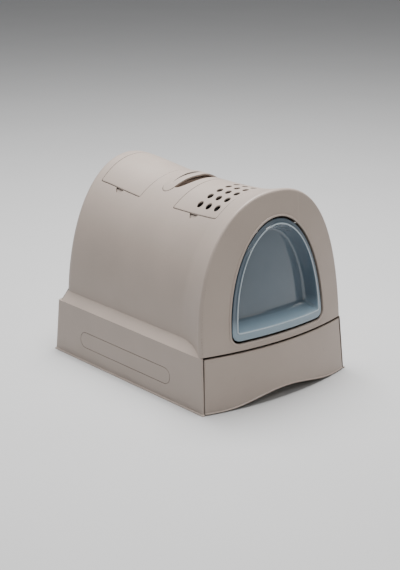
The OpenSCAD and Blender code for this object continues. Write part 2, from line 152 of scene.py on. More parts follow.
def make_camera():
    data = bpy.data.cameras.new("camera")
    data.sensor_width = 36
    data.lens = VIEW_LENS
    cam = bpy.data.objects.new("camera", data)
    bpy.context.collection.objects.link(cam)
    back = direction(VIEW_AZIMUTH, VIEW_ELEVATION)
    cam.location = Vector(VIEW_TARGET) + back * VIEW_DISTANCE
    cam.rotation_euler = back.to_track_quat("Z", "Y").to_euler()
    bpy.context.scene.camera = cam


def area_light(name, azimuth, elevation, distance, size, power, colour=(1, 1, 1)):
    data = bpy.data.lights.new(name, "AREA")
    data.shape = "RECTANGLE"
    data.size, data.size_y = size
    data.energy = power
    data.color = colour
    lamp = bpy.data.objects.new(name, data)
    bpy.context.collection.objects.link(lamp)
    out = direction(azimuth, elevation)
    lamp.location = Vector((0, 0, 0.2)) + out * distance
    lamp.rotation_euler = out.to_track_quat("Z", "Y").to_euler()


# ---------------------------------------------------------------- shape formulas
def bow(x):
    return BULGE * (x / BULGE_HALF) ** 2


def front_y(x, z):
    return -BODY_L / 2 + FRONT_LEAN * z + bow(x)


def rear_y(x, z):
    return BODY_L / 2 - REAR_LEAN * z - bow(x)


def fade(s):
    return np.maximum(0, 1 - s / LEAN_FADE)


def along_y(x, z, s):
    """Place along the length at share s of the way from the front to the rear."""
    straight = front_y(x, ROOF_REF) * (1 - s) + rear_y(x, ROOF_REF) * s
    return straight + (z - ROOF_REF) * (FRONT_LEAN * fade(s) - REAR_LEAN * fade(1 - s))


def share(x, y):
    front = front_y(x, ROOF_REF)
    return (y - front) / (rear_y(x, ROOF_REF) - front)


def smooth(u):
    u = np.clip(u, 0, 1)
    return u * u * (3 - 2 * u)


def apex(s):
    front = SADDLE_H + FRONT_RISE * np.maximum(0, 1 - s / 0.5) ** 2.7
    middle = SADDLE_H + REAR_RISE * smooth((s - 0.59) / 0.365)
    rear = SADDLE_H + REAR_RISE - REAR_DROP * np.maximum(0, (s - 0.955) / 0.045) ** 2
    line = np.where(s < 0.5, front, np.where(s < 0.955, middle, rear))
    return line + FLARE_H * flare(s) ** 1.5


def flare(s):
    return np.maximum(0, 1 - s * TUNNEL_L / FLARE_L)


def half_w(s):
    return TUNNEL_HALF + np.minimum(FLARE_MAX, FLARE_W * flare(s) ** 1.5)


def powers(s):
    """Exponents of the tunnel's section across and upwards."""
    ends = (FRONT_POWER_X, FRONT_POWER_Z)
    return [TUNNEL_POWER + (p - TUNNEL_POWER) * flare(s) ** 2 for p in ends]


def base_w(s):
    """Half of the tunnel's width at its foot, where the flare is shorter."""
    return TUNNEL_HALF + np.minimum(FLARE_MAX, FOOT_FLARE * flare(s) ** FOOT_POWER)


def foot_z(s):
    return SKIRT_H + (SHOULDER_HALF - base_w(s)) / SHOULDER_SLOPE


def roof_z(x, y):
    """Height of the outer roof over a point."""
    s = share(x, y)
    u = np.minimum(1, np.abs(x) / half_w(s))
    across, up = powers(s)
    return foot_z(s) + (apex(s) - foot_z(s)) * (1 - u ** (2 / across)) ** (up / 2)


def skirt_half(z):
    return SKIRT_HALF - SKIRT_DRAFT * z / SKIRT_H


def round_off(r, d):
    """How far a rounded edge of radius r has dropped at a distance d from the corner."""
    d = np.clip(d, 0, r)
    return r - np.sqrt(np.maximum(0, r * r - (r - d) ** 2))


# ---------------------------------------------------------------- mesh helpers
def mesh_object(name, points, faces):
    """A mesh object from points in millimetres, with its faces turned outwards."""
    mesh = bpy.data.meshes.new(name)
    mesh.from_pydata([tuple(p) for p in np.asarray(points, float) * MM], [], faces)
    bm = bmesh.new()
    bm.from_mesh(mesh)
    bmesh.ops.remove_doubles(bm, verts=bm.verts, dist=1e-6)
    bmesh.ops.dissolve_degenerate(bm, edges=bm.edges, dist=1e-7)
    bmesh.ops.recalc_face_normals(bm, faces=bm.faces)
    if bm.calc_volume(signed=True) < 0:
        bmesh.ops.reverse_faces(bm, faces=bm.faces)
    bm.to_mesh(mesh)
    bm.free()
    obj = bpy.data.objects.new(name, mesh)
    bpy.context.collection.objects.link(obj)
    return obj


def grid_solid(name, top, bottom):
    """Closed solid between two grids of points of the same shape, rows by columns."""
    n, m, _ = top.shape
    ids = np.arange(n * m).reshape(n, m)
    under = ids + n * m
    faces = []
    for sheet, flip in ((ids, False), (under, True)):
        quads = np.stack([sheet[:-1, :-1], sheet[1:, :-1], sheet[1:, 1:], sheet[:-1, 1:]], -1)
        quads = quads.reshape(-1, 4)
        faces += (quads[:, ::-1] if flip else quads).tolist()
    border = np.concatenate([ids[0, :-1], ids[:-1, -1], ids[-1, :0:-1], ids[:0:-1, 0]])
    after = np.roll(border, -1)
    faces += np.stack([border, after, after + n * m, border + n * m], -1).tolist()
    return mesh_object(name, np.concatenate([top.reshape(-1, 3), bottom.reshape(-1, 3)]), faces)


def ring_solid(name, rings):
    """Closed solid from rings of points; the first and the last ring are filled."""
    rings = np.asarray(rings, float)
    k, n, _ = rings.shape
    ids = np.arange(k * n).reshape(k, n)
    after = np.roll(ids, -1, axis=1)
    faces = np.stack([ids[:-1], after[:-1], after[1:], ids[1:]], -1).reshape(-1, 4).tolist()
    faces += [ids[0, ::-1].tolist(), ids[-1].tolist()]
    return mesh_object(name, rings.reshape(-1, 3), faces)


def tube_ring(name, rings):
    """Closed ring-shaped solid: sections of points joined round a loop."""
    rings = np.asarray(rings, float)
    k, n, _ = rings.shape
    ids = np.arange(k * n).reshape(k, n)
    after = np.roll(ids, -1, axis=1)
    faces = np.stack([ids, after, np.roll(after, -1, axis=0), np.roll(ids, -1, axis=0)], -1)
    return mesh_object(name, rings.reshape(-1, 3), faces.reshape(-1, 4).tolist())


def merged(name, objects):
    """One mesh of several closed solids that do not touch."""
    bm = bmesh.new()
    for obj in objects:
        bm.from_mesh(obj.data)
        bpy.data.objects.remove(obj)
    mesh = bpy.data.meshes.new(name)
    bm.to_mesh(mesh)
    bm.free()
    whole = bpy.data.objects.new(name, mesh)
    bpy.context.collection.objects.link(whole)
    return whole


def combine(obj, other, operation):
    """Boolean of two closed objects; the second one is used up."""
    mod = obj.modifiers.new("combine", "BOOLEAN")
    mod.operation = operation
    mod.solver = "MANIFOLD"
    mod.object = other
    bpy.context.view_layer.update()
    deps = bpy.context.evaluated_depsgraph_get()
    mesh = bpy.data.meshes.new_from_object(obj.evaluated_get(deps))
    obj.modifiers.clear()
    obj.data = mesh
    bpy.data.objects.remove(other)
    return obj


def cut(obj, *others):
    for other in others:
        combine(obj, other, "DIFFERENCE")
    return obj


def join(obj, *others):
    for other in others:
        combine(obj, other, "UNION")
    return obj


def finish_mesh(obj, sharp=32):
    """Smooth shading with sharp edges above an angle, and flat areas kept flat."""
    bm = bmesh.new()
    bm.from_mesh(obj.data)
    bmesh.ops.remove_doubles(bm, verts=bm.verts, dist=2e-6)
    limit = math.radians(sharp)
    for face in bm.faces:
        face.smooth = True
    for edge in bm.edges:
        edge.smooth = edge.calc_face_angle(0) < limit
    bm.to_mesh(obj.data)
    bm.free()
    mod = obj.modifiers.new("normals", "WEIGHTED_NORMAL")
    mod.keep_sharp = True
    return obj


# ---------------------------------------------------------------- outlines
def rounded_rect(x0, x1, y0, y1, r, side=24, corner=6):
    """Points round a rectangle with round corners, the same count for any size."""
    r = max(r, 0.01)
    centres = (
        (x1 - r, y0 + r, -90), (x1 - r, y1 - r, 0), (x0 + r, y1 - r, 90), (x0 + r, y0 + r, 180),
    )
    points = []
    for k, (cx, cy, start) in enumerate(centres):
        turn = np.radians(start + np.linspace(0, 90, corner + 1))
        arc = np.stack([cx + r * np.cos(turn), cy + r * np.sin(turn)], -1)
        nx, ny, nstart = centres[(k + 1) % 4]
        first = np.radians(nstart)
        goal = np.array([nx + r * math.cos(first), ny + r * math.sin(first)])
        run = np.linspace(0, 1, side + 1)[1:-1, None]
        points += [arc, arc[-1] + (goal - arc[-1]) * run]
    return np.concatenate(points)


def rect_outline(x0, x1, y0, y1, r):
    """Outline as a function of how far it is grown."""

    def outline(grow):
        mx, my = (x1 - x0) / 2 - 0.02, (y1 - y0) / 2 - 0.02
        gx, gy = max(grow, -mx), max(grow, -my)
        return rounded_rect(x0 - gx, x1 + gx, y0 - gy, y1 + gy, max(r + grow, 0))

    return outline


def door_outline(grow, sill_rise=0, arch=120, corner=8):
    """Outline of the door opening in X and Z, grown by a distance, with its sill raised."""
    a, zb, q = DOOR_HALF + grow, SILL_H - grow + sill_rise, max(4, DOOR_CORNER + grow)
    zc = zb + q
    b = DOOR_TOP + grow - zc
    turn = np.radians(np.linspace(0, 90, corner + 1))[:-1]
    right = np.stack([a - q + q * np.sin(turn), zc - q * np.cos(turn)], -1)
    over = np.radians(np.linspace(0, 180, arch + 1))
    top = np.stack([a * np.cos(over), zc + b * np.sin(over)], -1)
    left = right[::-1] * (-1, 1)
    sill = np.linspace(-(a - q), a - q, 40)[1:-1]
    bottom = np.stack([sill, np.full_like(sill, zb)], -1)
    return np.concatenate([right, top, left, bottom])


def plate(name, outline, wall, place, insets):
    """Closed plate: side levels from below to above, then caps drawn in to the middle.

    outline(grow) gives a ring of (u, v); wall lists (grow, depth) from the underside up
    to the top; place(u, v, depth) turns them into points; insets are the cap's steps."""
    low, high = wall[0], wall[-1]
    levels = [(low[0] - d, low[1]) for d in insets[::-1]]
    levels += list(wall)
    levels += [(high[0] - d, high[1]) for d in insets]
    rings = []
    for grow, depth in levels:
        ring = outline(grow)
        rings.append(np.stack(place(ring[:, 0], ring[:, 1], depth), -1))
    return ring_solid(name, rings)


def on_roof(u, v, depth):
    return u, v, roof_z(u, v) - depth


def on_hatch(span):
    """Roof surface with the front and rear edges of a hatch following the bow."""

    def place(u, v, depth):
        t = np.clip((v - span[0]) / (span[1] - span[0]), 0, 1)
        y = v + (span[3] + (span[4] - span[3]) * t) * bow(u)
        return u, y, roof_z(u, y) - depth

    return place


def on_front(u, v, depth):
    return u, front_y(u, v) + depth, v


def prism_y(name, outline, y0, y1):
    """Straight prism along Y over an outline in X and Z."""
    x, z = outline[:, 0], outline[:, 1]
    return ring_solid(name, [np.stack([x, np.full_like(x, y), z], -1) for y in (y0, y1)])


def rod(name, start, end, r, steps=32):
    """Round bar between two points."""
    start, end = Vector(start), Vector(end)
    axis = (end - start).normalized()
    side = axis.orthogonal().normalized()
    other = axis.cross(side)
    turn = np.linspace(0, 2 * math.pi, steps, endpoint=False)
    ring = np.outer(np.cos(turn), side) * r + np.outer(np.sin(turn), other) * r
    return ring_solid(name, [ring + np.array(start), ring + np.array(end)])


# ---------------------------------------------------------------- hood
CAP_STEPS = (1.5, 4, 8, 13, 19, 26, 34, 43, 52, 60, 68)


def tunnel_block(off, low):
    """The tunnel with its shoulders, grown inwards by off, down to the height low.

    The inner one takes its section from a little further back, so the wall stays thick."""
    turns = np.linspace(0, math.pi / 2, 8)
    front = FRONT_ROUND * (1 - np.cos(turns)) / TUNNEL_L
    rear = 1 - REAR_ROUND * (1 - np.cos(turns)) / TUNNEL_L
    middle = np.concatenate([np.linspace(0.017, 0.17, 56), np.linspace(0.18, 0.955, 110)])
    s = np.concatenate([front, middle, rear[::-1]])[:, None]
    rounds = 0
    if not off:
        rounds = round_off(FRONT_ROUND, s * TUNNEL_L) + round_off(REAR_ROUND, (1 - s) * TUNNEL_L)
    turn = np.linspace(0, math.pi, 181)[None]
    form = np.minimum(1, s + INNER_STEP) if off else s
    blend = smooth(np.sin(turn) / BASE_BLEND)
    span = base_w(form) + (half_w(form) - base_w(form)) * blend - off - rounds
    across, up = powers(form)
    cos = np.cos(turn)
    x = -span * np.sign(cos) * np.abs(cos) ** across
    height = apex(form) - foot_z(form) - rounds
    z = foot_z(form) - off + height * np.maximum(0, np.sin(turn)) ** up
    edge_x = np.broadcast_to(SHOULDER_HALF - off - rounds, (len(s), 1))
    edge_z = np.full((len(s), 1), SKIRT_H - off, float)
    x = np.concatenate([-edge_x, x, edge_x], 1)
    z = np.concatenate([edge_z, z, edge_z], 1)
    shift = np.zeros_like(s)
    shift[0], shift[-1] = off, -off
    s = np.broadcast_to(s, x.shape)
    top = np.stack([x, along_y(x, z, s) + shift, z], -1)
    flat = np.full_like(z, low)
    bottom = np.stack([x, along_y(x, flat, s) + shift, flat], -1)
    return grid_solid("tunnel", top, bottom)


def skirt_block(off, low, high, cols=100):
    """The skirt as a block with sides that lean in and bowed, rounded ends."""
    r = 0.01 if off else 2.5
    turns = np.linspace(0, math.pi / 2, 6)
    d = np.concatenate([r * (1 - np.cos(turns)), [30]])
    depth = np.concatenate([d, -d[::-1]])
    inset = np.concatenate([round_off(r, d), round_off(r, d)[::-1]])

    def level(z):
        u = np.linspace(-1, 1, cols + 1)[None]
        x = (skirt_half(z) - off - inset)[:, None] * u
        half = len(d)
        front = front_y(x[:half], z) + off + depth[:half, None]
        rear = rear_y(x[half:], z) - off + depth[half:, None]
        y = np.concatenate([front, rear])
        return np.stack([x, y, np.full_like(x, z)], -1)

    return grid_solid("skirt", level(high), level(low))


def lip_block():
    """Small foot that stands out all round the bottom of the skirt."""
    u = np.linspace(-1, 1, 101)[None]
    rings = []
    levels = (
        (LIP + 1.6, -0.2), (LIP + 0.5, 0.3), (LIP - 0.4, LIP - 0.4), (LIP - 1.2, LIP), (0, LIP),
    )
    for z, out in levels:
        x = (skirt_half(z) + out) * u
        rings.append((x, z, out))
    points = []
    for x, z, out in rings:
        front = np.stack([x, front_y(x, z) - out, np.full_like(x, z)], -1)[0]
        rear = np.stack([x, rear_y(x, z) + out, np.full_like(x, z)], -1)[0][::-1]
        points.append(np.concatenate([front, rear]))
    return ring_solid("lip", points)


def hatch_outline(span, x1):
    return rect_outline(-HATCH_HALF, x1, span[0], span[1], HATCH_CORNER)


def hatch_well(span):
    """Cutter for one hatch: a step for the hatch to lie in, with a fine bevel."""
    right = HINGE_X + HINGE_R + HINGE_GAP - SEAM
    outline = rect_outline(-HATCH_HALF - 0.5, right, span[0], span[1], HATCH_CORNER)
    depth = HATCH_T + HATCH_GAP
    wall = [(SEAM, depth), (SEAM, 0.5), (SEAM + 0.15, 0.15), (SEAM + 0.6, -0.3), (SEAM + 1, -9)]
    return plate("well", outline, wall, on_hatch(span), CAP_STEPS)


def hatch_opening(span):
    outline = hatch_outline(span, HATCH_HALF)
    return plate("opening", outline, [(-LEDGE_W, 30), (-LEDGE_W, -9)], on_hatch(span), CAP_STEPS)


def hatch_frame(span):
    outline = hatch_outline(span, HINGE_X + 10)
    wall = [(6, HATCH_T + HATCH_GAP + WALL), (6, 1)]
    return plate("frame", outline, wall, on_hatch(span), CAP_STEPS)


def hinge_rod(span, r, grow):
    """Bar along a hatch's hinge."""
    drop = HINGE_R * 1.35 - span[2]
    places = [edge + curve * bow(HINGE_X) for edge, curve in zip(span[:2], span[3:])]
    ends = [Vector((HINGE_X, y, float(roof_z(HINGE_X, y)) - drop)) for y in places]
    axis = (ends[1] - ends[0]).normalized()
    return rod("hinge", ends[0] - axis * grow, ends[1] + axis * grow, r)


def notch_outline(span):
    """Small tapered recess beside a hatch's free edge."""
    middle = (span[0] + span[1] + (span[3] + span[4]) * bow(HATCH_HALF)) / 2

    def outline(grow):
        x0, x1, y = -HATCH_HALF - NOTCH_OUT - grow, -HATCH_HALF + 2, NOTCH_HALF + grow
        shape = np.array([
            [x1, middle + y], [x0, middle + NOTCH_TIP], [x0, middle - NOTCH_TIP], [x1, middle - y]])
        steps = np.linspace(0, 1, 9)[:-1, None]
        sides = [a + (b - a) * steps for a, b in zip(shape, np.roll(shape, -1, axis=0))]
        return np.concatenate(sides)

    return outline


def notch(span):
    wall = [(-1.6, 6), (0, 0.6), (0.4, 0), (1.2, -2)]
    return plate("notch", notch_outline(span), wall, on_roof, ())


def notch_pad(span):
    return plate("pad", notch_outline(span), [(4, 9), (4, 1)], on_roof, ())


def even_loop(points, count):
    """The same closed line with its points at even steps."""
    closed = np.vstack([points, points[:1]])
    run = np.concatenate([[0], np.cumsum(np.linalg.norm(np.diff(closed, axis=0), axis=1))])
    at = np.linspace(0, run[-1], count, endpoint=False)
    return np.stack([np.interp(at, run, closed[:, k]) for k in (0, 1)], -1)


def handle_outline():
    """Strap that is widest in the middle, where its front edge comes forward."""
    back = HANDLE_Y[1]
    end_r, middle_r = HANDLE_END_R, (back - HANDLE_Y[0]) / 2
    circles = [(-HANDLE_HALF + end_r, back - end_r, end_r), (0, back - middle_r, middle_r),
               (HANDLE_HALF - end_r, back - end_r, end_r)]
    turn = np.linspace(0, 2 * math.pi, 240, endpoint=False)
    way = np.stack([np.cos(turn), np.sin(turn)], -1)
    reach = np.array([way @ np.array(c[:2]) + c[2] for c in circles])
    first = reach.argmax(axis=0)
    centre = np.array([c[:2] for c in circles])[first]
    radius = np.array([c[2] for c in circles])[first]

    def outline(grow):
        return even_loop(centre + way * (radius + grow)[:, None], 160)

    return outline


def on_handle(u, v, depth):
    rise = HANDLE_RISE * (1 - np.minimum(1, (np.abs(u) / (HANDLE_HALF + 5)) ** 2))
    return u, v, roof_z(u, v) + rise - depth


HANDLE_CAPS = (1, 2.5, 5, 8, 11, 13.5, 15.5)


def hand_bowl(grow):
    turn = np.linspace(0, 2 * math.pi, 96, endpoint=False)
    rings = []
    for lat in np.radians(np.linspace(-89, 89, 48)):
        level = math.cos(lat)
        rings.append(np.stack([
            BOWL_AT[0] + (BOWL_R[0] + grow) * level * np.cos(turn),
            BOWL_AT[1] + (BOWL_R[1] + grow) * level * np.sin(turn),
            np.full_like(turn, BOWL_AT[2] + (BOWL_R[2] + grow) * math.sin(lat))], -1))
    return ring_solid("bowl", rings)


def side_outline():
    return rect_outline(PILL_Y[0], PILL_Y[1], PILL_Z - PILL_R, PILL_Z + PILL_R, PILL_R)


def on_side(side):
    def place(u, v, depth):
        return side * (skirt_half(v) - depth), u, v

    return place


PILL_CAPS = (0.8, 2, 4, 7, 10.5, 14, 16.6)


def rim_bead():
    """Raised lip round the door opening."""
    path = door_outline(BEAD_PATH)
    ahead = np.roll(path, -1, axis=0) - np.roll(path, 1, axis=0)
    ahead /= np.linalg.norm(ahead, axis=1)[:, None]
    out = np.stack([ahead[:, 1], -ahead[:, 0]], -1)
    turn = np.linspace(0, 2 * math.pi, 20, endpoint=False)
    rings = []
    for c, s in zip(np.cos(turn), np.sin(turn)):
        p = path + out * (BEAD_R * c)
        rings.append(np.stack([p[:, 0], front_y(p[:, 0], p[:, 1]) - BEAD_RISE * s, p[:, 1]], -1))
    return tube_ring("bead", np.transpose(np.array(rings), (1, 0, 2)))


def way_half(z):
    """Half of the width of the drawer's way through the front of the skirt."""
    return skirt_half(z) - WAY_SIDE


def drawer_opening():
    """Cutter for the drawer: straight through the face, with a fine bevel round it."""
    rings = []
    for u in np.linspace(-1, 1, 120):
        ring = []
        for grow, depth in ((0, 50), (0, 1.4), (0.3, 0.5), (1.1, -0.4), (1.1, -30)):
            z = WAY_TOP + grow
            x = u * (way_half(z) + grow)
            ring.append((x, float(front_y(x, z)) + depth, z))
        for grow, depth in ((1.1, -30), (1.1, -0.4), (0.3, 0.5), (0, 1.4), (0, 50)):
            x = u * (way_half(-2) + grow)
            ring.append((x, float(front_y(x, -2)) + depth, -2))
        rings.append(ring)
    return ring_solid("drawer_opening", rings)


def door_collar():
    """Deeper edge of the moulding round the door, with a boss for each bearing."""
    wall = [(WALL, 4.5), (WALL, -2)]
    parts = [plate("collar", door_outline, wall, on_front, (3, 8, 20, 45, 80))]
    for side in (-1, 1):
        x, y, z = side * 64, PIVOT[0] - 1.25, PIVOT[1]
        box = rounded_rect(x - 4.5, x + 4.5, z - 4.5, z + 4.5, 1.2, 3, 3)
        parts.append(prism_y("boss", box, y - 4.25, y + 4.25))
    return parts


def build_hood():
    hood = join(tunnel_block(0, 60), skirt_block(0, 0, SKIRT_H), lip_block())
    inner = join(tunnel_block(WALL, -1), skirt_block(WALL, -1, SKIRT_H - WALL))
    cut(inner, hand_bowl(WALL))
    for span in (FILTER, STORAGE):
        cut(inner, hatch_frame(span), hinge_rod(span, HINGE_R + 3, 9), notch_pad(span))
    seat = [(4, HANDLE_T + 0.4 + WALL), (4, 2)]
    cut(inner, plate("seat", handle_outline(), seat, on_handle, HANDLE_CAPS))
    for side in (-1, 1):
        cut(inner, plate("pad", side_outline(), [(4, 5.5), (4, 0)], on_side(side), PILL_CAPS))
    cut(inner, *door_collar())
    cut(hood, inner, drawer_opening())
    join(hood, rim_bead())
    cut(hood, prism_y("door_way", door_outline(0), -310, -220), hand_bowl(0))
    bearing = [(side * BUSHING_END, *PIVOT) for side in (-1, 1)]
    cut(hood, rod("bearing", *bearing, BUSHING_R))
    for span in (FILTER, STORAGE):
        cut(hood, hatch_well(span), hatch_opening(span), notch(span))
        cut(hood, hinge_rod(span, HINGE_R + 0.5, SEAM), hinge_rod(span, 1.75, 6.3))
    groove = [(SEAM - 0.2, HANDLE_T + 0.4), (SEAM - 0.2, 0.6), (SEAM + 0.4, 0), (SEAM + 1.5, -9)]
    cut(hood, plate("seat", handle_outline(), groove, on_handle, HANDLE_CAPS))
    for side in (-1, 1):
        wall = [(0.7, 2.2), (0.7, 0.35), (1.1, -0.1), (1.6, -3)]
        cut(hood, plate("inlay_seat", side_outline(), wall, on_side(side), PILL_CAPS))
    hood.name = "hood_moulding"
    return finish_mesh(hood)


# ---------------------------------------------------------------- set-in pieces
def build_handle():
    wall = [(-0.6, HANDLE_T), (0, HANDLE_T - 0.7), (0, 1), (-0.3, 0.35), (-1, 0)]
    return finish_mesh(plate("handle_strap", handle_outline(), wall, on_handle, HANDLE_CAPS))


def build_inlay(name, side):
    wall = [(0, 1.9), (0, 0.6), (-0.2, 0.2), (-0.6, 0)]
    return finish_mesh(plate(name, side_outline(), wall, on_side(side), PILL_CAPS))


def vent(x, y):
    """Cutter for one vent hole, with a bevelled upper edge that follows the roof."""
    turn = np.linspace(0, 2 * math.pi, 32, endpoint=False)

    def outline(grow):
        r = VENT_D / 2 + grow
        return np.stack([x + r * np.cos(turn), y + r * np.sin(turn)], -1)

    wall = [(0, 30), (0, 0.9), (0.35, 0.25), (1, -0.15), (1.3, -4)]
    return plate("vent", outline, wall, on_roof, ())


def build_hatch(name, span, vents):
    outline = hatch_outline(span, HINGE_X - 0.5)
    wall = [(0, HATCH_T), (0, 0.7), (-0.2, 0.25), (-0.7, 0)]
    hatch = plate(name, outline, wall, on_hatch(span), CAP_STEPS)
    join(hatch, hinge_rod(span, HINGE_R, 0))
    if vents:
        columns = (np.arange(VENT_COLUMNS) - (VENT_COLUMNS - 1) / 2) * VENT_PITCH
        holes = [vent(x, row + VENT_CURVE * bow(x)) for row in VENT_ROWS for x in columns]
        cut(hatch, merged("vents", holes))
    hatch.name = name
    return finish_mesh(hatch)


# ---------------------------------------------------------------- drawer
def finger_z(x):
    wave = 1 + FINGER_H * np.cos(np.pi / 2 * x / FINGER_HALF) ** 2
    return np.where(np.abs(x) < FINGER_HALF, wave, 1)


def build_drawer_front():
    """Bowed front with round edges and a small foot that follows the finger arch."""
    r = 1.9
    edge = np.array([0, 0.1, 0.35, 0.8, 1.3, 1.9, 2.6, 3.6])
    half = way_half(0) - DRAWER_GAP[0]
    du = np.concatenate([edge, np.linspace(6, half, 60)])
    u = (np.concatenate([du, 2 * half - du[-2::-1]]) / half - 1)[None]
    height = DRAWER_TOP - 1
    rows = np.concatenate([edge, np.linspace(5, height - 5, 24), height - edge[::-1]])
    v = (rows / height)[:, None]
    z_low = finger_z(half * u)
    rise = (DRAWER_TOP - z_low) * v
    z = z_low + rise
    side_gap = DRAWER_GAP[0] + (DRAWER_GAP[1] - DRAWER_GAP[0]) * z / SKIRT_H
    x = (way_half(z) - side_gap) * u
    from_side = half * (1 - np.abs(u)) + 0 * v
    from_edge = np.minimum(rise, DRAWER_TOP - z_low - rise)
    q = np.hypot(np.maximum(r - from_side, 0), np.maximum(r - from_edge, 0))
    drop = r - np.sqrt(np.maximum(0, r * r - q * q))
    foot = 1.9 * (1 - smooth((rise - 2) / 1.5))
    front = np.stack([x, front_y(x, z) + drop - foot, z], -1)
    back = np.stack([x, front_y(x, z) + DRAWER_T, z], -1)
    panel = grid_solid("drawer_face", front, back)
    for side in (-1, 1):
        join(panel, rod("post", (side * 120, -262, 62), (side * 120, -233, 62), 7))
    panel.name = "drawer_face"
    return finish_mesh(panel)


# ---------------------------------------------------------------- door
# Inset from the opening, depth of the front, thickness; the ring at the sill is raised.
DOOR_PROFILE = (
    (4.4, 2.6, 1.6), (4.45, 1.7, 2.8), (4.7, 1.1, 3.4), (5.2, 0.8, 3.7), (6, 0.7, 3.7),
    (8, 0.7, 3.5), (10, 0.7, 3.4), (11.6, 0.6, 3.4), (12.3, 0.1, 4), (12.9, -1.1, 5),
    (13.5, -1.9, 5.4), (14.3, -2.3, 5.6), (15.2, -2.2, 5.4), (16, -1.6, 4.8), (16.7, -0.6, 3.8),
    (17.6, 1.2, 2.8), (19, 4.4, 2.3), (21.6, 11, 2), (24.6, 18.6, 1.9), (27, 24, 1.9),
    (28.6, 26.6, 1.9), (30.2, 28.6, 1.9), (32.2, 29.8, 1.9), (35, DISH_DEPTH, 1.9),
)
DOOR_FILL = (0.93, 0.82, 0.7, 0.56, 0.42, 0.28, 0.14, 0.02)


def door_ring(inset):
    sill_rise = 6.5 * smooth((inset - 3) / 9) + 2 * smooth((inset - 17) / 8)
    return door_outline(-inset, float(sill_rise))


def build_door():
    """Clear moulding: rim, raised ridge and a panel set back behind them."""
    fronts, backs = [], []
    for inset, depth, thick in DOOR_PROFILE:
        p = door_ring(inset)
        y = front_y(p[:, 0], p[:, 1]) + depth
        fronts.append(np.stack([p[:, 0], y, p[:, 1]], -1))
        backs.append(np.stack([p[:, 0], y + thick, p[:, 1]], -1))
    p = door_ring(DOOR_PROFILE[-1][0])
    middle = np.array([0, 255])
    for k in DOOR_FILL:
        q = middle + (p - middle) * k
        y = front_y(q[:, 0], q[:, 1]) + DOOR_PROFILE[-1][1]
        fronts.append(np.stack([q[:, 0], y, q[:, 1]], -1))
        backs.append(np.stack([q[:, 0], y + DOOR_PROFILE[-1][2], q[:, 1]], -1))
    door = ring_solid("door_flap", fronts[::-1] + backs)
    for side in (-1, 1):
        join(door, rod("lug", (side * 40, *PIVOT), (side * 48, *PIVOT), 2.6))
    door.name = "door_flap"
    return finish_mesh(door, 40)


# ---------------------------------------------------------------- materials
def new_material(name):
    mat = bpy.data.materials.new(name)
    mat.use_nodes = True
    nodes, links = mat.node_tree.nodes, mat.node_tree.links
    shader = nodes["Principled BSDF"]
    return mat, nodes, links, shader


def noise(nodes, links, coord, scale, detail=4, roughness=0.5):
    node = nodes.new("ShaderNodeTexNoise")
    node.inputs["Scale"].default_value = scale
    node.inputs["Detail"].default_value = detail
    node.inputs["Roughness"].default_value = roughness
    links.new(coord, node.inputs["Vector"])
    return node.outputs["Fac"]


def remap(nodes, links, value, low, high, new_low, new_high):
    node = nodes.new("ShaderNodeMapRange")
    node.inputs["From Min"].default_value = low
    node.inputs["From Max"].default_value = high
    node.inputs["To Min"].default_value = new_low
    node.inputs["To Max"].default_value = new_high
    links.new(value, node.inputs["Value"])
    return node.outputs["Result"]


def mix_colour(nodes, links, factor, a, b, mode="MIX"):
    node = nodes.new("ShaderNodeMix")
    node.data_type = "RGBA"
    node.blend_type = mode
    links.new(factor, node.inputs["Factor"])
    for socket, value in ((node.inputs[6], a), (node.inputs[7], b)):
        if isinstance(value, tuple):
            socket.default_value = (*value, 1)
        else:
            links.new(value, socket)
    return node.outputs[2]


def bump(nodes, links, height, strength, distance, before=None):
    node = nodes.new("ShaderNodeBump")
    node.inputs["Strength"].default_value = strength
    node.inputs["Distance"].default_value = distance
    links.new(height, node.inputs["Height"])
    if before:
        links.new(before, node.inputs["Normal"])
    return node.outputs["Normal"]


def painted_hollow_shade(nodes, reach):
    """Painted shade mask: 1 on open surfaces, and down to 0 deep in seams and hollows, where the
    colour is darkened to stand in for shade.
    """
    node = nodes.new("ShaderNodeAmbientOcclusion")
    node.samples = 8
    node.inputs["Distance"].default_value = reach
    return remap(nodes, nodes.id_data.links, node.outputs["AO"], 0.08, 0.6, 0, 1)


def moulded_plastic(name, colour, rough=0.5, grain=0.12, edge_highlight=0.10):
    """Opaque moulded plastic: spark-eroded grain, faint flow mottling, a painted highlight that
    makes sharp edges lighter, and painted shade in seams and hollows.
    """
    mat, nodes, links, shader = new_material(name)
    coord = nodes.new("ShaderNodeTexCoord").outputs["Object"]
    light = tuple(min(1, c * 1.07) for c in colour)
    dark = tuple(c * 0.93 for c in colour)
    cloud = remap(nodes, links, noise(nodes, links, coord, 9, 3), 0.3, 0.7, 0, 1)
    base = mix_colour(nodes, links, cloud, dark, light)
    speck = remap(nodes, links, noise(nodes, links, coord, 700, 2), 0.35, 0.65, 0, 1)
    base = mix_colour(nodes, links, speck, base, colour)
    # painted highlight: sharp outer edges, found by pointiness, are made lighter
    point = nodes.new("ShaderNodeNewGeometry").outputs["Pointiness"]
    edge = remap(nodes, links, point, 0.52, 0.62, 0, edge_highlight)
    base = mix_colour(nodes, links, edge, base, tuple(min(1, c * 1.5 + 0.05) for c in colour))
    # painted shade: seams, gaps, hollows and the feet of walls darkened towards a tenth of the
    # colour
    base = mix_colour(nodes, links, painted_hollow_shade(nodes, 0.03), tuple(c * 0.12 for c in colour), base)
    links.new(base, shader.inputs["Base Color"])
    smudge = noise(nodes, links, coord, 26, 5, 0.6)
    smudge = remap(nodes, links, smudge, 0.3, 0.7, rough - 0.05, rough + 0.07)
    links.new(smudge, shader.inputs["Roughness"])
    fine = bump(nodes, links, noise(nodes, links, coord, 1500, 2), grain, 0.0002)
    wave = bump(nodes, links, noise(nodes, links, coord, 14, 2), 0.05, 0.002, fine)
    links.new(wave, shader.inputs["Normal"])
    shader.inputs["Specular IOR Level"].default_value = 0.42
    return mat


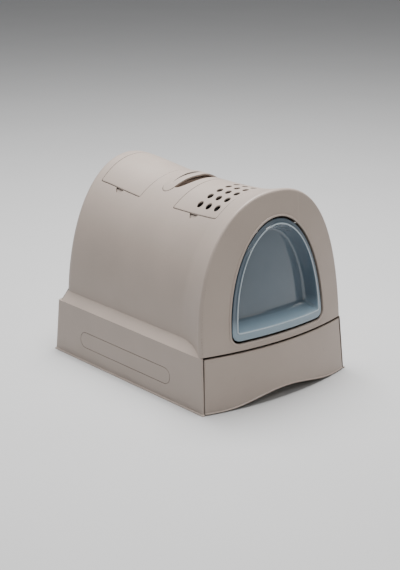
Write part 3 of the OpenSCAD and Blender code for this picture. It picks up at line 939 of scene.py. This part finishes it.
def math_node(nodes, links, operation, *values):
    node = nodes.new("ShaderNodeMath")
    node.operation = operation
    for socket, value in zip(node.inputs, values):
        if isinstance(value, (int, float)):
            socket.default_value = value
        else:
            links.new(value, socket)
    return node.outputs[0]


def face_depth(nodes, links, coord):
    """Distance in metres behind the bowed front face, from the object's own coordinates."""
    split = nodes.new("ShaderNodeSeparateXYZ")
    links.new(coord, split.inputs[0])
    x, y, z = split.outputs
    square = math_node(nodes, links, "MULTIPLY", x, x)
    bowed = math_node(nodes, links, "MULTIPLY", square, BULGE / BULGE_HALF ** 2 / MM)
    lean = math_node(nodes, links, "MULTIPLY_ADD", z, FRONT_LEAN, -BODY_L / 2 * MM)
    face = math_node(nodes, links, "ADD", bowed, lean)
    return math_node(nodes, links, "SUBTRACT", y, face)


def smoked_clear():
    """Tinted clear moulding: darker smoked tint on the panel and upper sides, a lighter tint
    painted on the sill and lower rim where light falls on them, and a painted highlight along the
    ridge.
    """
    mat, nodes, links, shader = new_material("smoked_clear")
    coord = nodes.new("ShaderNodeTexCoord").outputs["Object"]
    depth = face_depth(nodes, links, coord)
    height = nodes.new("ShaderNodeSeparateXYZ")
    links.new(coord, height.inputs[0])
    # painted light: the sill and lower rim, which face up to the light, keep the lighter tint; the
    # deep panel and the upper part take the darker smoked tint
    high = remap(nodes, links, height.outputs[2], 0.160, 0.185, 0, 1)
    deep = math_node(nodes, links, "MAXIMUM", remap(nodes, links, depth, 0.020, 0.029, 0, 1), high)
    # painted highlight: a pale tint along the raised ridge
    ridge = remap(nodes, links, depth, -0.0008, -0.002, 0, 1)
    cloud = remap(nodes, links, noise(nodes, links, coord, 12, 3), 0.3, 0.7, 0, 1)
    light = mix_colour(nodes, links, cloud, (0.34, 0.47, 0.57), (0.38, 0.52, 0.62))
    dark = mix_colour(nodes, links, cloud, (0.14, 0.198, 0.255), (0.16, 0.22, 0.28))
    tint = mix_colour(nodes, links, deep, light, dark)
    tint = mix_colour(nodes, links, ridge, tint, (0.70, 0.83, 0.92))
    links.new(tint, shader.inputs["Base Color"])
    haze = remap(nodes, links, noise(nodes, links, coord, 30, 3, 0.5), 0.3, 0.7, 0.06, 0.12)
    links.new(haze, shader.inputs["Roughness"])
    wave = bump(nodes, links, noise(nodes, links, coord, 20, 2), 0.06, 0.002)
    links.new(wave, shader.inputs["Normal"])
    shader.inputs["Transmission Weight"].default_value = 0.4
    shader.inputs["IOR"].default_value = 1.49
    shader.inputs["Coat Weight"].default_value = 0.6
    shader.inputs["Coat Roughness"].default_value = 0.05
    return mat


def steel():
    mat, nodes, links, shader = new_material("screw_steel")
    coord = nodes.new("ShaderNodeTexCoord").outputs["Object"]
    cloud = noise(nodes, links, coord, 400, 4)
    tone = mix_colour(nodes, links, cloud, (0.5, 0.5, 0.49), (0.66, 0.66, 0.67))
    links.new(tone, shader.inputs["Base Color"])
    links.new(remap(nodes, links, cloud, 0.3, 0.7, 0.28, 0.45), shader.inputs["Roughness"])
    shader.inputs["Metallic"].default_value = 1
    return mat


def felt():
    mat, nodes, links, shader = new_material("carbon_felt")
    coord = nodes.new("ShaderNodeTexCoord").outputs["Object"]
    fibre = noise(nodes, links, coord, 900, 8, 0.75)
    tone = mix_colour(nodes, links, fibre, (0.008, 0.008, 0.009), (0.05, 0.05, 0.052))
    links.new(tone, shader.inputs["Base Color"])
    links.new(bump(nodes, links, fibre, 0.8, 0.001), shader.inputs["Normal"])
    shader.inputs["Roughness"].default_value = 0.95
    return mat


def floor_material():
    mat, nodes, links, shader = new_material("floor")
    coord = nodes.new("ShaderNodeTexCoord").outputs["Object"]
    cloud = noise(nodes, links, coord, 3, 3)
    tone = mix_colour(nodes, links, cloud, (0.56, 0.56, 0.56), (0.59, 0.59, 0.59))
    links.new(tone, shader.inputs["Base Color"])
    shader.inputs["Roughness"].default_value = 0.7
    return mat


# ---------------------------------------------------------------- the scene
def make_stage():
    mesh = bpy.data.meshes.new("floor")
    size = 9
    corners = [(-size, -size, 0), (size, -size, 0), (size, size, 0), (-size, size, 0)]
    mesh.from_pydata(corners, [], [(0, 1, 2, 3)])
    floor = bpy.data.objects.new("floor", mesh)
    bpy.context.collection.objects.link(floor)
    floor.data.materials.append(floor_material())
    world = bpy.data.worlds.new("studio")
    world.use_nodes = True
    bpy.context.scene.world = world
    sky = world.node_tree.nodes["Background"]
    sky.inputs["Color"].default_value = (0.97, 0.98, 1, 1)
    sky.inputs["Strength"].default_value = 0.24
    area_light("key", 140, 81, 2.8, (1.8, 1.8), 205)
    area_light("fill", 20, 15, 3.0, (1.6, 1.2), 8, (1, 0.88, 0.74))
    area_light("sheen", -40, 38, 3.0, (0.5, 0.5), 9, (1, 0.98, 0.95))


def add(obj, body, slot, material, *nodes):
    """Gives a piece its body, its material and the CAD nodes that it stands for."""
    obj.data.materials.clear()
    obj.data.materials.append(material)
    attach(obj, body)
    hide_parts(*nodes)


make_camera()
make_stage()

GREIGE = (0.42, 0.352, 0.306)
hood_plastic = moulded_plastic("hood_plastic", GREIGE, 0.42)
inner_plastic = moulded_plastic("inner_plastic", tuple(c * 0.92 for c in GREIGE), 0.45)
pale_plastic = moulded_plastic("pale_plastic", (0.72, 0.72, 0.70), 0.4)
scoop_plastic = moulded_plastic("scoop_plastic", (0.20, 0.26, 0.31), 0.35)
clear = smoked_clear()

add(build_hood(), "hood", "hood_plastic", hood_plastic, "hood_shell")
add(build_handle(), "hood", "hood_plastic", hood_plastic, "carry_handle")
add(build_inlay("inlay_left", -1), "hood", "hood_plastic", hood_plastic, "side_inlay_left")
add(build_inlay("inlay_right", 1), "hood", "hood_plastic", hood_plastic, "side_inlay_right")
vented_hatch = build_hatch("vented_hatch", FILTER, True)
add(vented_hatch, "front_hatch", "hood_plastic", hood_plastic, "filter_hatch")
plain_hatch = build_hatch("plain_hatch", STORAGE, False)
add(plain_hatch, "rear_hatch", "hood_plastic", hood_plastic, "storage_hatch")
add(build_drawer_front(), "drawer", "hood_plastic", hood_plastic, "drawer_front")
add(build_door(), "door", "smoked_clear", clear, "door_panel")

KEPT = {
    "handle_screws": steel(), "runner_screws": None, "drawer_front_screws": None,
    "filter_hatch_pins": None, "storage_hatch_pins": None,
    "runner_left": inner_plastic, "runner_right": inner_plastic, "filter_cradle": inner_plastic,
    "storage_bin": inner_plastic, "litter_tray": inner_plastic, "carbon_filter": felt(),
    "litter_scoop": scoop_plastic, "door_bushings": pale_plastic, "door_pivot_pins": pale_plastic,
}
for node, material in KEPT.items():
    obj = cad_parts[node]
    obj.data.materials.clear()
    obj.data.materials.append(material or KEPT["handle_screws"])
